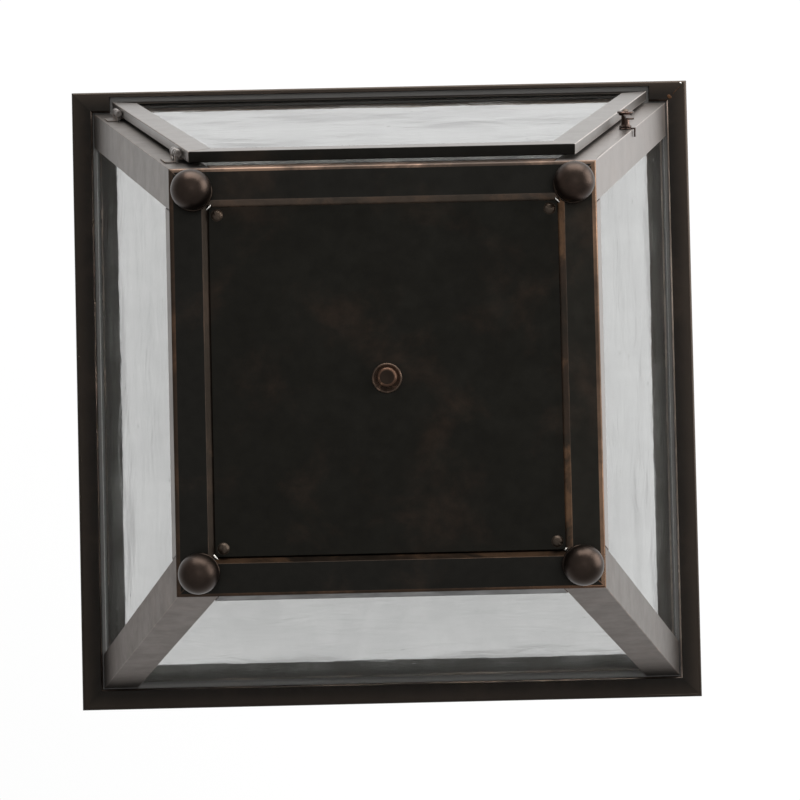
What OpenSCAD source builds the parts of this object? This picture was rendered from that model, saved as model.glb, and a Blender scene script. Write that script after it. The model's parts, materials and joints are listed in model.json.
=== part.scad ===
// Square, tapered ceiling lantern with a hinged glass door, four ball feet and a lamp cluster.
// Millimetres, +Z up. The origin is the centre of the ceiling face, and the door faces -Y.
// Each side of the body has its own flat frame: X along the side, Y up the slope, Z outwards.

/* [Rim] */
// Width of the square rim over its outer faces
rim_w = 356; // [330:2:400]
// Height of the rim, from the ceiling to its lower flange
rim_h = 25; // [22:1:36]
// Thickness of the rim's sheet
rim_sheet = 1.2; // [0.8:0.1:1.6]
// Width of the flange that turns in under the rim
rim_flange = 12; // [8:0.5:14]
// Width of the flange that turns in against the ceiling
rim_top_flange = 10; // [6:0.5:14]
// Width of the hem folded back on the lower flange's inner edge
rim_hem = 5; // [3:0.5:7]
// Width that is left of the front flange where it is notched for the door
notch_lip = 3; // [2.5:0.5:5]
// Side play between the door's top corners and the notch
notch_gap = 1.6; // [1:0.2:3]

/* [Body] */
// Gap between the rim's inner edge and the posts' faces, at the rim's lower face
rim_gap = 1; // [0.9:0.1:3]
// Width of the posts' outer faces at the bottom
bottom_w = 200; // [190:2:230]
// Height from the bottom face up to the rim's lower face
body_h = 250; // [220:5:290]
// Width of a post's flange, square to the corner
post_flange = 19; // [16:0.5:24]
// Thickness of the posts' sheet
post_sheet = 1; // [0.8:0.1:2]

/* [Ceiling deck and fixings] */
// Thickness of the deck that closes the body at the top
deck_sheet = 1.5; // [1:0.1:2.5]
// Length of the mounting crossbar
bar_len = 112; // [106:2:140]
// Width of the mounting crossbar
bar_w = 20; // [16:1:30]
// Thickness of the mounting crossbar
bar_t = 2; // [1.5:0.1:3]
// Radius of the crossbar's centre hole, for the wires
bar_hole_r = 4.9; // [4:0.1:5.2]
// Distance between the outlet-box slots
box_spacing = 88.9; // [84:0.1:92]
// Length of an outlet-box slot, end to end
slot_len = 14; // [10:1:16]
// Width of an outlet-box slot
slot_w = 4.6; // [4:0.1:5.5]
// Distance between the two screws that carry the lantern
carry_spacing = 50; // [36:1:60]
// Radius of the carrying screws
carry_r = 2; // [1.5:0.1:2.5]
// Length of the carrying screws below the deck
carry_tail = 6; // [4:0.5:8]
// Radius of the cap nuts over their corners
cap_r = 5; // [4:0.2:6]
// Radius of the ground screw
ground_r = 1.8; // [1.5:0.1:2]
// Distance of the ground screw from the crossbar's centre
ground_x = 11; // [9:0.5:14]

/* [Lamps] */
// Outer radius of the threaded lamp stem
stem_r = 4.8; // [4:0.1:6]
// Radius of the wire way through the stem
stem_bore_r = 3.2; // [2:0.1:3.4]
// Length of the stem below the deck
stem_drop = 58; // [40:1:90]
// Length of the stem above the deck
stem_rise = 8; // [6:0.5:14]
// Radius of the stem's lock nuts over their corners
stem_nut_r = 9; // [7.5:0.5:12]
// Thickness of the stem's lock nuts
stem_nut_t = 4; // [3:0.5:5]
// Radius of the round lamp plate
plate_r = 58; // [54:1:70]
// Thickness of the lamp plate
plate_t = 1.5; // [1:0.1:2.5]
// Distance of each lampholder from the stem's axis
lamp_circle = 42; // [38:1:44]
// Outer radius of a lampholder
holder_r = 10.5; // [9:0.5:13]
// Length of a lampholder
holder_len = 28; // [26:1:40]
// Inside radius of the lampholder's screw shell
shell_r = 6; // [5.5:0.1:6.5]
// Thickness of the screw shell
shell_t = 0.4; // [0.3:0.1:0.8]
// Length of the screw shell
shell_len = 15; // [12:0.5:18]
// Thickness of the centre contact
contact_t = 1; // [0.6:0.1:2]

/* [Bottom] */
// Height of the rails' outer face, up the slope
rail_face = 12; // [9:0.5:16]
// Thickness of the rails' sheet
rail_sheet = 1; // [0.8:0.1:1.4]
// Width of the flat border around the recess
border_w = 15.1; // [12:0.1:18]
// Thickness of the bottom panel
panel_sheet = 1.2; // [0.8:0.1:2]
// Depth of the recess, from the border's face to the panel's face
recess = 2.8; // [1.5:0.1:4]
// Width of the fold between the flat border and the panel
fold_w = 2.8; // [2:0.1:5]
// Width of the ledge that the panel is screwed to
ledge_w = 9.5; // [8:0.5:14]
// Play between the panel and the fold
panel_play = 0.15; // [0.1:0.05:0.4]
// Distance of the panel's screws from its edges
screw_inset = 3.8; // [3:0.1:4.5]
// Radius of the panel screws' heads
screw_head_r = 2.9; // [2.4:0.1:3.2]
// Height of the panel screws' heads
screw_head_h = 1.7; // [1:0.1:2.2]
// Radius of the panel screws' shanks
screw_r = 1.5; // [1:0.1:1.8]

/* [Feet and finial] */
// Radius of a ball foot
ball_r = 9.5; // [8:0.5:11]
// Play between a ball and the bottom face
ball_gap = 0.7; // [0.5:0.1:2]
// Radius of the neck that carries a ball
foot_neck_r = 3; // [2.2:0.1:4]
// Radius of the threaded stud on a foot
foot_stud_r = 1.5; // [1:0.1:1.6]
// Radius of a foot's collar
collar_r = 9.3; // [7:0.1:9.4]
// Height of a foot's collar
collar_h = 1.6; // [1:0.1:2.2]
// Radius of a foot's nut over its corners
foot_nut_r = 2.4; // [2.1:0.1:2.4]
// Thickness of a foot's nut
foot_nut_t = 2.4; // [2:0.1:3]
// Play between a foot's nut and the fold beside it
foot_nut_play = 1.2; // [0.1:0.1:2]
// Radius of the finial's rosette
rosette_r = 7.2; // [6:0.1:10]
// Thickness of the finial's rosette
rosette_t = 1.8; // [1:0.1:3]
// Radius of the finial's knob
finial_r = 4.8; // [4:0.1:6]
// Radius of the finial's neck
finial_neck_r = 2.8; // [2.2:0.1:3.5]
// Length of the finial's neck
finial_neck = 1.6; // [1:0.1:3]
// Radius of the finial's threaded stud
finial_stud_r = 2; // [1.5:0.1:2.2]

/* [Glass] */
// Thickness of the panes
glass_t = 3; // [2:0.5:4]
// Distance of a fixed pane's side from the corner, square to the corner
glass_inset = 10; // [9.8:0.1:14]
// Thickness of the glass clips' strip
clip_t = 0.8; // [0.5:0.1:1]
// Length of a glass clip, along the post
clip_len = 12; // [8:1:20]
// Width of a glass clip's lap over the pane
clip_lap = 4.5; // [3:0.5:6]
// Distance of the lowest and highest clips from the panes' ends
clip_end = 40; // [30:1:70]
// Play around glass and between sheets
play = 0.2; // [0.1:0.05:0.25]

/* [Door] */
// Distance from the corner to the door's edge, square to the corner
door_inset = 10.4; // [10:0.1:12]
// Distance from the bottom face to the door's lower edge, up the slope
door_low = 8; // [5:0.5:12]
// Play between the door's top edge and the rim's lower face
door_top_gap = 0.5; // [0.3:0.1:2]
// Width of the stiles
stile_w = 12.7; // [12.2:0.1:16]
// Height of the door's lower rail
low_rail_h = 12.7; // [10:0.5:18]
// Height of the door's upper rail
top_rail_h = 9; // [8:0.5:14]
// Thickness of the door's frame
door_t = 5.2; // [4.4:0.1:6]
// Gap between the posts' faces and the door's frame
standoff = 1.8; // [1.5:0.1:2.4]
// Lap of the stiles and rails over the door's pane
door_lap = 1.8; // [1.2:0.1:2]
// Thickness of the stiles and rails in front of the door's pane
door_skin = 1; // [0.8:0.1:1.2]
// Thickness of the clips that hold the door's pane
door_clip_t = 0.6; // [0.4:0.1:0.7]
// Gap between a hinge and the door clip beside it
door_clip_gap = 8; // [2:1:20]

/* [Hinges] */
// Distance of the lower hinge from the bottom face, up the slope
hinge_low = 28; // [24:1:60]
// Distance of the upper hinge from the door's top edge, down the slope
hinge_top = 36.5; // [24:0.5:60]
// Radius of a hinge's barrel
barrel_r = 1.8; // [1.5:0.1:1.8]
// Length of a hinge's barrel
barrel_len = 14; // [12:1:24]
// Radius of a hinge's pin
pin_r = 0.8; // [0.6:0.05:0.9]
// Running clearance on a hinge's pin
pin_play = 0.05; // [0.03:0.01:0.08]
// Thickness of a hinge's leaves
leaf_t = 0.8; // [0.5:0.1:0.9]
// Width of a hinge's leaf on the post
post_leaf_w = 6.5; // [5:0.5:6.5]
// Width of a hinge's leaf on the door
door_leaf_w = 8; // [6:0.5:10]

/* [Latch] */
// Height of the latch's pivot, up the slope
latch_v = 126.5; // [90:0.5:170]
// Distance of the latch's pivot from the corner, square to the corner
latch_inset = 4; // [3.8:0.1:4.6]
// Radius of the latch's pivot screw
latch_pin_r = 1; // [0.8:0.05:1.2]
// Radius of the knob's lower disc
latch_disc_r = 3.3; // [2.8:0.1:3.4]
// Radius of the knob's neck
latch_neck_r = 2.2; // [1.8:0.1:2.6]
// Radius of the knob's head
latch_head_r = 4.4; // [3.6:0.1:4.6]
// Height of the knob's head
latch_head_h = 1.2; // [1:0.1:2.6]
// Play between the latch's arm and the door's face
latch_gap = 0.3; // [0.3:0.1:0.8]
// Thickness of the latch's arm
arm_t = 0.9; // [0.8:0.1:1.6]
// Width of the latch's arm
arm_w = 3; // [2:0.1:4]
// Length of the latch's arm, from the pivot to its round end
arm_len = 21; // [16:0.5:26]
// Width of the spring clip's tail
tail_w = 1.7; // [1:0.1:2.4]
// Reach of the spring clip's tail past the corner, along the side flange
tail_reach = 4; // [2:0.5:6]

/* [Hidden] */
$fn = 64;
metal = [0.20, 0.16, 0.14];
metal_light = [0.42, 0.34, 0.28];
copper = [0.55, 0.33, 0.22];
brass = [0.72, 0.58, 0.30];
steel = [0.62, 0.63, 0.64];
phenolic = [0.13, 0.12, 0.12];
pane = [0.80, 0.86, 0.86, 0.35];

cut = 1;         // how far a cutting shape runs past what it cuts
far = 600;       // longer than any part of the lantern

rim_half = rim_w / 2;
half_top = rim_half - rim_flange - rim_gap;
half_bot = bottom_w / 2;
run_out = half_top - half_bot;
slant = sqrt(body_h * body_h + run_out * run_out);
tilt = atan(run_out / body_h);
edge_lean = atan(run_out / slant);
z_rim = -rim_h;
z_low = -rim_h - body_h;
deck_low = z_rim + 2 * rim_sheet;
deck_high = deck_low + deck_sheet;

// Half width of a side at height v up its slope, and the width of a strip d across a corner
function ridge_x(v) = half_bot + v * run_out / slant;
function across(d) = d / cos(edge_lean);
// Height up the slope at which a point w outside the side's face reaches height z
function slope_at(z, w) = (z - z_low + w * sin(tilt)) / cos(tilt);

// Bottom rails, measured outwards from the lantern's axis
fold_out = half_bot - border_w;
fold_in = fold_out - fold_w;
panel_half = fold_in - panel_play;
ledge_in = fold_in - ledge_w;
ledge_z = z_low + recess + panel_sheet;
screw_pos = panel_half - screw_inset;
fold_h = recess + panel_sheet;
fold_skin = rail_sheet * (sqrt(fold_w * fold_w + fold_h * fold_h) - fold_w) / fold_h;
foot_pos = fold_out + fold_skin + foot_nut_play + foot_nut_r;
panel_z = z_low + recess;

// Fixed panes, measured outwards from the side's face
glass_out = -max(post_sheet, rail_sheet) - play;
glass_in = glass_out - glass_t;
glass_low = slope_at(z_low + rail_sheet + play, glass_out);
glass_high = slope_at(deck_low - play, glass_in);

// Door
door_face = standoff + door_t;
door_high = slope_at(z_rim - door_top_gap, standoff);
notch_half = ridge_x(door_high) - across(door_inset) + notch_gap;
door_glass_out = door_face - door_skin;
door_glass_in = door_glass_out - glass_t;
door_glass_inset = door_inset + stile_w - door_lap;
hinge_high = door_high - hinge_top;
hinge_inset = door_inset - barrel_r - 0.3;
hinge_w = standoff + door_t / 2;
knuckle = (barrel_len - 4 * play) / 3.5;
latch_base = leaf_t + play;
arm_w0 = door_face + latch_gap;
hub_r = (latch_pin_r + latch_neck_r) / 2;

// Ceiling fixings and lamps
stem_low = deck_low - stem_drop;
plate_high = stem_low + stem_nut_t + 2 + plate_t;
plate_low = plate_high - plate_t;
holder_low = plate_low - holder_len;
shell_low = holder_low + 0.5;
shell_high = shell_low + shell_len;
contact_low = shell_high + 2 * play;
socket_end = contact_low + contact_t + pin_play;
stub_r = 4.6;
stub_nut_t = 3;

// ---- Frames -------------------------------------------------------------------------------

// Side k: 0 front, 1 right, 2 back, 3 left
module on_side(k) {
    rotate([0, 0, 90 * k]) translate([0, -half_bot, z_low]) rotate([90 + tilt, 0, 0]) children();
}

// On a side's right-hand corner at height v: Y runs up the corner, -X runs in from it
module at_corner(v) {
    translate([ridge_x(v), v, 0]) rotate([0, 0, -edge_lean]) children();
}

// A bar of a drawn section (distance from the axis, height) along side k, mitred at its ends
module mitred_bar(k) {
    rotate([0, 0, 90 * k]) intersection() {
        rotate([90, 0, -90]) linear_extrude(height = far, center = true) children();
        translate([0, 0, -far]) linear_extrude(height = 2 * far)
            polygon([[0, 0], [-far / 2, -far / 2], [far / 2, -far / 2]]);
    }
}

// A flat strip along a side's right-hand corner, from d0 to d1 across it
module corner_strip(v0, v1, d0, d1, w0, w1) {
    translate([0, 0, w0]) linear_extrude(height = w1 - w0) polygon([
        [ridge_x(v0) - across(d1), v0], [ridge_x(v0) - across(d0), v0],
        [ridge_x(v1) - across(d0), v1], [ridge_x(v1) - across(d1), v1]]);
}

// A pane or sheet with both sides parallel to the corners
module side_sheet(v0, v1, d, w0, w1) {
    translate([0, 0, w0]) linear_extrude(height = w1 - w0) polygon([
        [across(d) - ridge_x(v0), v0], [ridge_x(v0) - across(d), v0],
        [ridge_x(v1) - across(d), v1], [across(d) - ridge_x(v1), v1]]);
}

module four_corners(half) {
    for (k = [0:3]) rotate([0, 0, 90 * k]) translate([half, -half, 0]) children();
}

module hex_nut(r, t, bore_r) {
    difference() {
        cylinder(h = t, r = r, $fn = 6);
        translate([0, 0, -cut]) cylinder(h = t + 2 * cut, r = bore_r);
    }
}

// ---- Rim and ceiling deck -----------------------------------------------------------------

module rim_section() {
    inner = rim_half - rim_flange;
    translate([rim_half - rim_sheet, z_rim]) square([rim_sheet, rim_h]);
    translate([inner + rim_sheet, z_rim]) square([rim_flange - rim_sheet, rim_sheet]);
    translate([inner + rim_sheet, z_rim + rim_sheet]) square([rim_hem - rim_sheet, rim_sheet]);
    translate([inner + rim_sheet, z_rim + rim_sheet]) circle(r = rim_sheet);
    translate([rim_half - rim_top_flange, -rim_sheet]) square([rim_top_flange, rim_sheet]);
}

module rim_side(k) {
    color(metal) mitred_bar(k) rim_section();
}

module rim_front() {
    lip_y = rim_half - notch_lip;
    color(metal) difference() {
        rim_side(0);
        translate([-notch_half, -lip_y, z_rim - cut])
            cube([2 * notch_half, lip_y, 2 * rim_sheet + cut + play]);
    }
}

module ceiling_deck() {
    deck_half = rim_half - rim_sheet - play;
    color(metal) difference() {
        translate([-deck_half, -deck_half, deck_low]) cube([2 * deck_half, 2 * deck_half, deck_sheet]);
        translate([0, 0, deck_low - cut]) cylinder(h = deck_sheet + 2 * cut, r = stem_r + play);
        for (s = [-1, 1]) translate([s * carry_spacing / 2, 0, deck_low - cut])
            cylinder(h = deck_sheet + 2 * cut, r = carry_r + play);
    }
}

// ---- Crossbar and carrying screws ---------------------------------------------------------

module slot_cut() {
    reach = (slot_len - slot_w) / 2;
    translate([0, 0, -bar_t - cut]) linear_extrude(height = bar_t + 2 * cut) {
        translate([-reach, 0]) circle(d = slot_w);
        translate([reach, 0]) circle(d = slot_w);
        translate([-reach, -slot_w / 2]) square([2 * reach, slot_w]);
    }
}

module crossbar() {
    color(steel) difference() {
        translate([-bar_len / 2, -bar_w / 2, -bar_t]) cube([bar_len, bar_w, bar_t]);
        for (s = [-1, 1]) {
            translate([s * box_spacing / 2, 0, 0]) slot_cut();
            translate([s * carry_spacing / 2, 0, -bar_t - cut])
                cylinder(h = bar_t + 2 * cut, r = carry_r + pin_play);
        }
        translate([0, 0, -bar_t - cut]) cylinder(h = bar_t + 2 * cut, r = bar_hole_r);
        translate([ground_x, 0, -bar_t - cut]) cylinder(h = bar_t + 2 * cut, r = ground_r + pin_play);
    }
}

module crossbar_screws() {
    color(steel) for (s = [-1, 1]) translate([s * carry_spacing / 2, 0, deck_low - carry_tail])
        cylinder(h = -play - deck_low + carry_tail, r = carry_r);
}

// Washer, hexagon and domed end under the deck, blind from above
module cap_nuts() {
    hex_t = 4;
    washer_t = 1;
    color(metal_light) for (s = [-1, 1]) translate([s * carry_spacing / 2, 0, deck_low]) difference() {
        union() {
            translate([0, 0, -washer_t]) cylinder(h = washer_t, r = cap_r * 1.15);
            translate([0, 0, -washer_t - hex_t]) cylinder(h = hex_t + washer_t / 2, r = cap_r, $fn = 6);
            translate([0, 0, -washer_t - hex_t]) sphere(r = cap_r * 0.84);
        }
        translate([0, 0, -carry_tail - play]) cylinder(h = carry_tail + play + cut, r = carry_r + pin_play);
    }
}

module ground_screw() {
    head_t = 2;
    color("green") translate([ground_x, 0, -bar_t]) {
        translate([0, 0, -head_t]) cylinder(h = head_t, r = ground_r * 2, $fn = 6);
        cylinder(h = bar_t - play, r = ground_r);
    }
}

// ---- Lamp cluster -------------------------------------------------------------------------

module lamp_stem() {
    color(brass) difference() {
        translate([0, 0, stem_low]) cylinder(h = deck_high + stem_rise - stem_low, r = stem_r);
        translate([0, 0, stem_low - cut])
            cylinder(h = deck_high + stem_rise - stem_low + 2 * cut, r = stem_bore_r);
    }
}

module stem_nuts() {
    color(brass) for (z = [deck_high, deck_low - stem_nut_t, plate_high, plate_low - stem_nut_t])
        translate([0, 0, z]) hex_nut(stem_nut_r, stem_nut_t, stem_r + pin_play);
}

// The four places under the lamp plate
module at_lamp(i) {
    rotate([0, 0, 45 + 90 * i]) translate([lamp_circle, 0, 0]) children();
}

module lamp_plate() {
    color(steel) difference() {
        translate([0, 0, plate_low]) cylinder(h = plate_t, r = plate_r);
        translate([0, 0, plate_low - cut]) cylinder(h = plate_t + 2 * cut, r = stem_r + play);
        for (i = [0:3]) at_lamp(i) translate([0, 0, plate_low - cut])
            cylinder(h = plate_t + 2 * cut, r = stub_r + play);
    }
}

// Insulating body, open below for the shell, with a threaded stub through the plate
module lampholder(i) {
    color(phenolic) at_lamp(i) difference() {
        union() {
            translate([0, 0, holder_low]) cylinder(h = holder_len, r = holder_r);
            translate([0, 0, plate_low]) cylinder(h = plate_t + stub_nut_t + 1, r = stub_r);
        }
        translate([0, 0, holder_low - cut])
            cylinder(h = socket_end - holder_low + cut, r = shell_r + shell_t + play / 2);
        translate([0, 0, contact_low]) cylinder(h = far / 4, r = 1.4);
    }
}

module screw_shells() {
    color(brass) for (i = [0:3]) at_lamp(i) difference() {
        translate([0, 0, shell_low]) cylinder(h = shell_len, r = shell_r + shell_t);
        translate([0, 0, shell_low - cut]) cylinder(h = shell_len + 2 * cut, r = shell_r);
    }
}

module centre_contacts() {
    color(brass) for (i = [0:3]) at_lamp(i) {
        translate([0, 0, contact_low]) cylinder(h = contact_t, r = 2.4);
        translate([0, 0, contact_low]) cylinder(h = contact_t + 3, r = 1.3);
    }
}

module lampholder_nuts() {
    color(brass) for (i = [0:3]) at_lamp(i) translate([0, 0, plate_high])
        hex_nut(stub_r * 1.6, stub_nut_t, stub_r + pin_play);
}

// ---- Posts and fixed panes ----------------------------------------------------------------

// The post between side k and the next side
module corner_post(k) {
    color(metal_light) difference() {
        intersection() {
            union() {
                on_side(k) corner_strip(-cut, slant + rim_h, 0, post_flange, -post_sheet, 0);
                on_side(k + 1) mirror([1, 0, 0])
                    corner_strip(-cut, slant + rim_h, 0, post_flange, -post_sheet, 0);
            }
            translate([-far / 2, -far / 2, z_low + rail_sheet]) cube([far, far, deck_low - z_low - rail_sheet]);
        }
        if (k == 0) latch_place() translate([0, 0, -post_sheet - cut])
            cylinder(h = post_sheet + 2 * cut, r = latch_pin_r + pin_play);
    }
}

module fixed_pane(k) {
    color(pane) on_side(k) side_sheet(glass_low, glass_high, glass_inset, glass_in, glass_out);
}

// Bent strip from a post's inner face, round the pane's edge and over its inner face
module glass_clip() {
    foot_in = 2.6;
    riser = glass_inset - play;
    lap_w = glass_in - play;
    color(steel) rotate([90, 0, 0]) linear_extrude(height = clip_len, center = true) {
        translate([-riser, -post_sheet - clip_t]) square([riser - foot_in, clip_t]);
        translate([-riser, lap_w - clip_t]) square([clip_t, -post_sheet - lap_w + clip_t]);
        translate([-riser - clip_lap, lap_w - clip_t]) square([clip_lap + clip_t, clip_t]);
    }
}

module glass_clips() {
    for (k = [1:3]) on_side(k) for (s = [0, 1]) mirror([s, 0, 0])
        for (v = [glass_low + clip_end, glass_high - clip_end]) at_corner(v) glass_clip();
}

// ---- Bottom -------------------------------------------------------------------------------

module rail_section() {
    face_x = rail_face * sin(tilt);
    face_z = rail_face * cos(tilt);
    skin = rail_sheet / cos(tilt);
    low_x = rail_sheet * tan(tilt);
    // outer face, flat border, fold and ledge, all one bent sheet
    polygon([
        [half_bot, z_low], [half_bot + face_x, z_low + face_z], [half_bot + face_x - skin, z_low + face_z],
        [half_bot + low_x - skin, z_low + rail_sheet], [fold_out + fold_skin, z_low + rail_sheet],
        [fold_in + fold_skin, ledge_z + rail_sheet], [ledge_in, ledge_z + rail_sheet],
        [ledge_in, ledge_z], [fold_in, ledge_z], [fold_out, z_low]]);
}

// The sloped face of a rail stands between the posts, which stand on its flat border
module post_room(k) {
    intersection() {
        on_side(k) for (s = [0, 1]) mirror([s, 0, 0])
            corner_strip(-cut, rail_face + 2 * cut, -cut, post_flange + play, -2 * rail_sheet, cut);
        translate([-far / 2, -far / 2, z_low + rail_sheet]) cube([far, far, 2 * rail_face]);
    }
}

module bottom_rail(k) {
    color(metal) difference() {
        mitred_bar(k) rail_section();
        post_room(k);
        four_corners(foot_pos) translate([0, 0, z_low - cut])
            cylinder(h = rail_sheet + 2 * cut, r = foot_stud_r + play / 2);
        four_corners(screw_pos) translate([0, 0, ledge_z - cut])
            cylinder(h = rail_sheet + 2 * cut, r = screw_r + pin_play);
    }
}

module bottom_panel() {
    color(metal) difference() {
        translate([-panel_half, -panel_half, panel_z]) cube([2 * panel_half, 2 * panel_half, panel_sheet]);
        four_corners(screw_pos) translate([0, 0, panel_z - cut])
            cylinder(h = panel_sheet + 2 * cut, r = screw_r + play / 2);
        translate([0, 0, panel_z - cut]) cylinder(h = panel_sheet + 2 * cut, r = finial_stud_r + play / 2);
    }
}

// A round head of radius r and height h below z = 0, a slice of a ball
module round_head(r, h) {
    ball = (r * r + h * h) / (2 * h);
    intersection() {
        translate([0, 0, ball - h]) sphere(r = ball);
        translate([0, 0, -h - cut]) cylinder(h = h + cut, r = r);
    }
}

module panel_screws() {
    color(copper) four_corners(screw_pos) translate([0, 0, panel_z]) {
        round_head(screw_head_r, screw_head_h);
        translate([0, 0, -play]) cylinder(h = play + panel_sheet + rail_sheet + 4, r = screw_r);
    }
}

module ball_foot(k) {
    color(metal) rotate([0, 0, 90 * k]) translate([foot_pos, -foot_pos, z_low]) {
        translate([0, 0, -ball_gap - ball_r]) sphere(r = ball_r);
        translate([0, 0, -ball_gap - ball_r]) cylinder(h = ball_gap + ball_r, r = foot_neck_r);
        cylinder(h = rail_sheet + foot_nut_t + 1, r = foot_stud_r);
    }
}

// Turned collar around each neck, dished below
module foot_collars() {
    color(copper) four_corners(foot_pos) translate([0, 0, z_low]) rotate_extrude() polygon([
        [foot_neck_r + play / 2, 0], [collar_r - 0.4, 0], [collar_r, -0.4], [collar_r, -collar_h + 0.4],
        [collar_r - 0.4, -collar_h], [collar_r - 1.4, -collar_h], [foot_neck_r + play / 2, -ball_gap + play]]);
}

module foot_nuts() {
    color(steel) four_corners(foot_pos) translate([0, 0, z_low + rail_sheet])
        hex_nut(foot_nut_r, foot_nut_t, foot_stud_r + pin_play);
}

module finial_rosette() {
    color(copper) translate([0, 0, panel_z]) rotate_extrude() polygon([
        [finial_stud_r + play / 2, 0], [rosette_r - 0.3, 0], [rosette_r, -0.3],
        [rosette_r, -rosette_t * 0.5], [rosette_r - 1, -rosette_t], [finial_stud_r + play / 2, -rosette_t]]);
}

module finial() {
    ball_z = -rosette_t - finial_neck - finial_r * 0.8;
    color(copper) translate([0, 0, panel_z]) {
        translate([0, 0, ball_z]) sphere(r = finial_r);
        translate([0, 0, ball_z]) cylinder(h = -rosette_t - ball_z, r = finial_neck_r);
        translate([0, 0, -rosette_t]) cylinder(h = rosette_t + panel_sheet + 6, r = finial_stud_r);
    }
}

module finial_nut() {
    color(steel) translate([0, 0, panel_z + panel_sheet])
        hex_nut(finial_stud_r * 2.2, 3.2, finial_stud_r + pin_play);
}

// ---- Hinges -------------------------------------------------------------------------------

// On the hinge's axis at height v: Y along the pin, +X away from the door, Z outwards
module hinge_place(v) {
    on_side(0) mirror([1, 0, 0]) at_corner(v) translate([-hinge_inset, 0, 0]) children();
}

// A barrel length around the hinge's axis, from y0 to y1
module barrel(y0, y1) {
    translate([0, y0, hinge_w]) rotate([-90, 0, 0]) cylinder(h = y1 - y0, r = barrel_r);
}

module pin_hole(clearance) {
    translate([0, -barrel_len, hinge_w]) rotate([-90, 0, 0])
        cylinder(h = 2 * barrel_len, r = pin_r + clearance);
}

// The post's leaf carries the two outer knuckles
module hinge_post_leaf(v) {
    half = barrel_len / 2;
    color(metal_light) hinge_place(v) difference() {
        union() {
            translate([0, -half, 0]) cube([post_leaf_w, barrel_len, leaf_t]);
            for (s = [0, 1]) mirror([0, s, 0]) {
                barrel(half - knuckle, half);
                translate([leaf_t * 0.9, half - knuckle, 0]) cube([leaf_t, knuckle, hinge_w]);
            }
        }
        pin_hole(pin_play / 2);
    }
}

// The door's leaf carries the middle knuckle and lies behind the stile
module hinge_door_leaf(v) {
    half = barrel_len / 2 - knuckle - play;
    color(metal_light) hinge_place(v) difference() {
        union() {
            barrel(-half, half);
            translate([-barrel_r, -half, standoff - leaf_t]) cube([leaf_t, 2 * half, hinge_w - standoff + leaf_t]);
            translate([-barrel_r - door_leaf_w + leaf_t, -half, standoff - leaf_t])
                cube([door_leaf_w, 2 * half, leaf_t]);
        }
        pin_hole(pin_play);
    }
}

module hinge_pins() {
    head_t = 0.7;
    color(metal_light) for (v = [hinge_low, hinge_high]) hinge_place(v)
        translate([0, -barrel_len / 2 - play, hinge_w]) rotate([-90, 0, 0]) {
            cylinder(h = barrel_len + 2 * play, r = pin_r);
            translate([0, 0, barrel_len + 2 * play]) cylinder(h = head_t, r = barrel_r * 0.8);
            translate([0, 0, -head_t]) cylinder(h = head_t, r = barrel_r * 0.8);
        }
}

// ---- Door ---------------------------------------------------------------------------------

door_in_low = door_low + low_rail_h;
door_in_high = door_high - top_rail_h;
function door_x(v, d) = ridge_x(v) - across(door_inset + d);

// The right-hand stile, mitred to the rails
module stile() {
    translate([0, 0, standoff]) linear_extrude(height = door_t) polygon([
        [door_x(door_low, 0), door_low], [door_x(door_high, 0), door_high],
        [door_x(door_in_high, stile_w), door_in_high], [door_x(door_in_low, stile_w), door_in_low]]);
}

module door_rail(v_out, v_in) {
    translate([0, 0, standoff]) linear_extrude(height = door_t) polygon([
        [-door_x(v_out, 0), v_out], [door_x(v_out, 0), v_out],
        [door_x(v_in, stile_w), v_in], [-door_x(v_in, stile_w), v_in]]);
}

// The rabbet that the pane lies in, open to the inside
module rabbet() {
    side_sheet(door_in_low - door_lap - play, door_in_high + door_lap + play,
        door_glass_inset - play, standoff - cut, door_glass_out);
}

module door_latch_stile() {
    color(metal_light) on_side(0) difference() {
        stile();
        rabbet();
    }
}

module door_hinge_stile() {
    color(metal_light) on_side(0) difference() {
        mirror([1, 0, 0]) stile();
        rabbet();
    }
}

module door_top_rail() {
    color(metal_light) on_side(0) difference() {
        door_rail(door_high, door_in_high);
        rabbet();
    }
}

module door_bottom_rail() {
    color(metal_light) on_side(0) difference() {
        door_rail(door_low, door_in_low);
        rabbet();
    }
}

module door_glass() {
    color(pane) on_side(0) side_sheet(door_in_low - door_lap, door_in_high + door_lap,
        door_glass_inset, door_glass_in, door_glass_out);
}

// Bent strip from a stile's back into the rabbet and over the pane's inner face
module door_glass_clips() {
    foot = 5;
    riser = door_glass_inset + play;
    lap_w = door_glass_in - play;
    hinge_off = barrel_len / 2 + door_clip_gap + clip_len / 2;
    color(steel) on_side(0) for (s = [0, 1]) mirror([s, 0, 0])
        for (v = [hinge_low + hinge_off, hinge_high - hinge_off]) at_corner(v)
            rotate([90, 0, 0]) linear_extrude(height = clip_len, center = true) {
                translate([-riser - door_clip_t, standoff - door_clip_t]) square([foot + door_clip_t, door_clip_t]);
                translate([-riser - door_clip_t, standoff - door_clip_t])
                    square([door_clip_t, lap_w - standoff + door_clip_t]);
                translate([-riser - clip_lap, lap_w - door_clip_t]) square([clip_lap, door_clip_t]);
            }
}

// ---- Latch --------------------------------------------------------------------------------

// On the latch's pivot: Z outwards, Y up the slope
module latch_place() {
    on_side(0) at_corner(latch_v) translate([-latch_inset, 0, 0]) rotate([0, 0, edge_lean]) children();
}

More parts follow.
